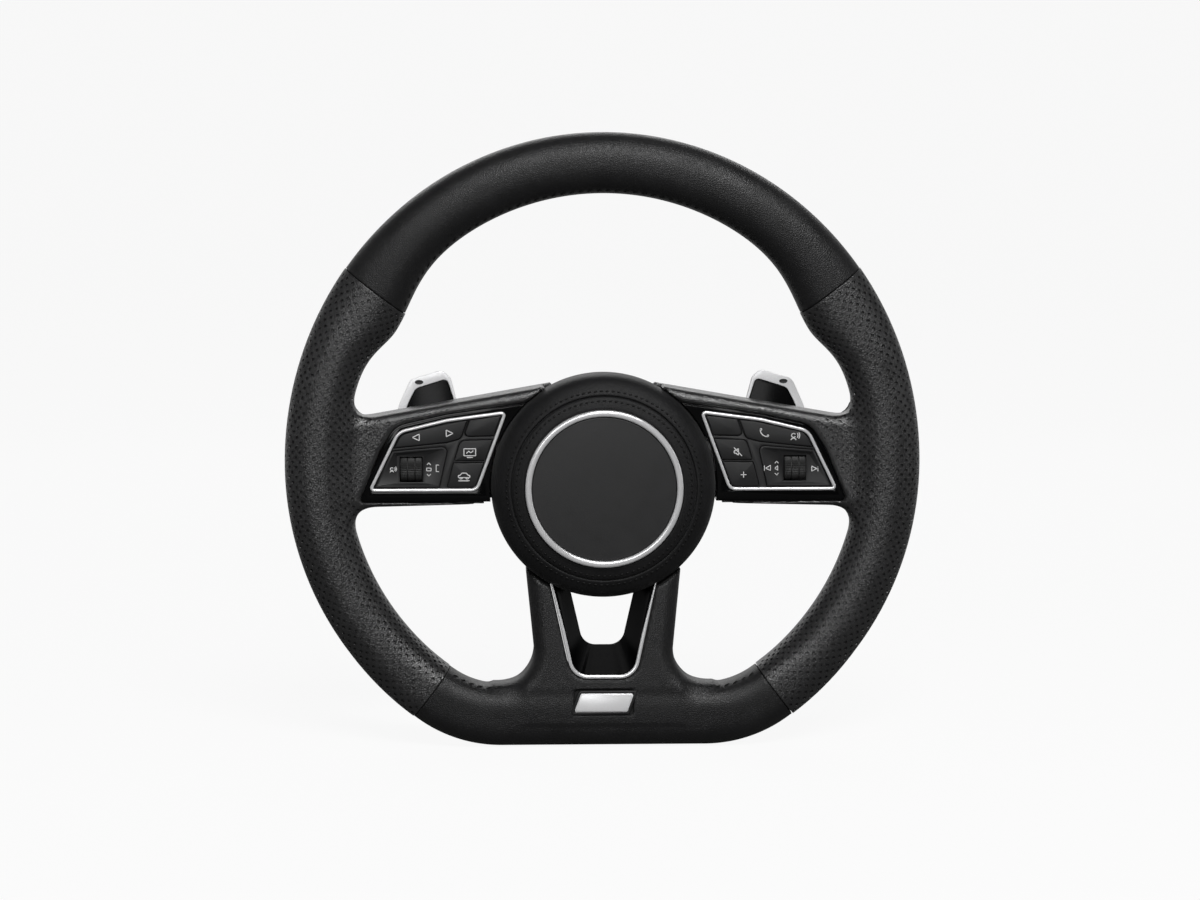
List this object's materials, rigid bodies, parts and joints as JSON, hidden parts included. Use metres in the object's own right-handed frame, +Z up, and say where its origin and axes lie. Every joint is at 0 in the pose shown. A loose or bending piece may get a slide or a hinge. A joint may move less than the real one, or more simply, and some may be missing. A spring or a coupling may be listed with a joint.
{
  "type": "car steering wheel",
  "caption": "Flat-bottomed leather sport steering wheel with a round airbag cover, key packs on the side spokes and shift paddles behind.",
  "frame": {"origin": "steering axis at the back face of the hub, where the column shaft enters the bore", "axes": "+Y along the shaft bore, away from the driver; +Z up with the flat bottom down; +X to the driver's right"},
  "size_m": [0.37, 0.082, 0.3583],
  "materials": {
    "smooth_leather": "smooth grained, satin",
    "perforated_leather": "perforated, satin",
    "cover_leather": "fine grained, satin",
    "foam": "moulded foam",
    "cast_metal": "die cast, rough",
    "matt_plastic": "fine moulded grain",
    "gloss_plastic": "piano black",
    "key_plastic": "soft-touch paint",
    "cover_plastic": "fine moulded grain",
    "bright_trim": "satin bright",
    "paddle_metal": "polished",
    "roller_rubber": "ribbed",
    "steel": "zinc plated",
    "pressed_steel": "pressed",
    "bag_fabric": "folded woven bag",
    "circuit_board": "solder resist"
  },
  "bodies": {
    "wheel": {"armature": "cast_metal", "rim_foam": "foam", "leather_top": "smooth_leather", "leather_left": "perforated_leather", "leather_right": "perforated_leather", "leather_bottom": "smooth_leather", "rear_cover": "matt_plastic", "rear_cover_screws": "steel", "horn_springs": "steel", "lower_bezel": "gloss_plastic", "lower_trim": "bright_trim", "badge_frame": "matt_plastic", "badge_plate": "bright_trim", "left_bezel": "gloss_plastic", "left_frame": "bright_trim", "left_key_housing": "gloss_plastic", "left_key_board": "circuit_board", "left_back_cover": "matt_plastic", "left_paddle_pin": "steel", "left_paddle_switch": "matt_plastic", "left_paddle_spring": "steel", "right_bezel": "gloss_plastic", "right_frame": "bright_trim", "right_key_housing": "gloss_plastic", "right_key_board": "circuit_board", "right_back_cover": "matt_plastic", "right_paddle_pin": "steel", "right_paddle_switch": "matt_plastic", "right_paddle_spring": "steel"},
    "horn_pad": {"airbag_cover": "cover_plastic", "cover_front_leather": "cover_leather", "cover_side_leather": "cover_leather", "cover_disc": "cover_plastic", "cover_ring": "bright_trim", "airbag_cushion": "bag_fabric", "airbag_pan": "pressed_steel", "inflator": "pressed_steel", "guide_bolts": "steel"},
    "left_rocker_body": {"left_rocker": "key_plastic"},
    "left_blank_key_body": {"left_blank_key": "key_plastic"},
    "left_middle_key_body": {"left_middle_key": "key_plastic"},
    "left_lower_key_body": {"left_lower_key": "key_plastic"},
    "left_tilt_plate_body": {"left_tilt_plate": "key_plastic"},
    "left_roller_body": {"left_roller": "roller_rubber"},
    "left_paddle_body": {"left_paddle": "paddle_metal", "left_paddle_face": "gloss_plastic"},
    "right_rocker_body": {"right_rocker": "key_plastic"},
    "right_blank_key_body": {"right_blank_key": "key_plastic"},
    "right_middle_key_body": {"right_middle_key": "key_plastic"},
    "right_lower_key_body": {"right_lower_key": "key_plastic"},
    "right_tilt_plate_body": {"right_tilt_plate": "key_plastic"},
    "right_roller_body": {"right_roller": "roller_rubber"},
    "right_paddle_body": {"right_paddle": "paddle_metal", "right_paddle_face": "gloss_plastic"}
  },
  "joints": [
    {"name": "horn_press", "type": "slide", "parent": "wheel", "child": "horn_pad", "axis": [0, 1, 0], "range_m": [0, 0.002], "stiffness_N_per_m": 6000, "deforming": ["horn_springs"]},
    {"name": "left_rocker_tilt", "type": "hinge", "parent": "wheel", "child": "left_rocker_body", "pos_m": [-0.101, -0.0588, 0.018], "axis": [0, 0, 1], "range_deg": [-1.8, 1.8], "stiffness_Nm_per_rad": 1.5},
    {"name": "left_blank_press", "type": "slide", "parent": "wheel", "child": "left_blank_key_body", "axis": [0, 1, 0], "range_m": [0, 0.0008], "stiffness_N_per_m": 2500},
    {"name": "left_middle_press", "type": "slide", "parent": "wheel", "child": "left_middle_key_body", "axis": [0, 1, 0], "range_m": [0, 0.0008], "stiffness_N_per_m": 2500},
    {"name": "left_lower_press", "type": "slide", "parent": "wheel", "child": "left_lower_key_body", "axis": [0, 1, 0], "range_m": [0, 0.0008], "stiffness_N_per_m": 2500},
    {"name": "left_plate_tilt", "type": "hinge", "parent": "wheel", "child": "left_tilt_plate_body", "pos_m": [-0.1116, -0.0588, -0.0024], "axis": [0, 0, 1], "range_deg": [-1.5, 1.5], "stiffness_Nm_per_rad": 1.5},
    {"name": "left_roller_turn", "type": "hinge", "parent": "left_tilt_plate_body", "child": "left_roller_body", "pos_m": [-0.1116, -0.0606, -0.0024], "axis": [1, 0, 0], "continuous": true},
    {"name": "left_paddle_pull", "type": "hinge", "parent": "wheel", "child": "left_paddle_body", "pos_m": [-0.0665, -0.03125, 0.002], "axis": [0, 0, 1], "range_deg": [0, 3.5], "stiffness_Nm_per_rad": 5, "deforming": ["left_paddle_spring"]},
    {"name": "right_rocker_tilt", "type": "hinge", "parent": "wheel", "child": "right_rocker_body", "pos_m": [0.101, -0.0588, 0.018], "axis": [0, 0, 1], "range_deg": [-1.8, 1.8], "stiffness_Nm_per_rad": 1.5},
    {"name": "right_blank_press", "type": "slide", "parent": "wheel", "child": "right_blank_key_body", "axis": [0, 1, 0], "range_m": [0, 0.0008], "stiffness_N_per_m": 2500},
    {"name": "right_middle_press", "type": "slide", "parent": "wheel", "child": "right_middle_key_body", "axis": [0, 1, 0], "range_m": [0, 0.0008], "stiffness_N_per_m": 2500},
    {"name": "right_lower_press", "type": "slide", "parent": "wheel", "child": "right_lower_key_body", "axis": [0, 1, 0], "range_m": [0, 0.0008], "stiffness_N_per_m": 2500},
    {"name": "right_plate_tilt", "type": "hinge", "parent": "wheel", "child": "right_tilt_plate_body", "pos_m": [0.1116, -0.0588, -0.0024], "axis": [0, 0, 1], "range_deg": [-1.5, 1.5], "stiffness_Nm_per_rad": 1.5},
    {"name": "right_roller_turn", "type": "hinge", "parent": "right_tilt_plate_body", "child": "right_roller_body", "pos_m": [0.1116, -0.0606, -0.0024], "axis": [1, 0, 0], "continuous": true},
    {"name": "right_paddle_pull", "type": "hinge", "parent": "wheel", "child": "right_paddle_body", "pos_m": [0.0665, -0.03125, 0.002], "axis": [0, 0, -1], "range_deg": [0, 3.5], "stiffness_Nm_per_rad": 5, "deforming": ["right_paddle_spring"]}
  ]
}
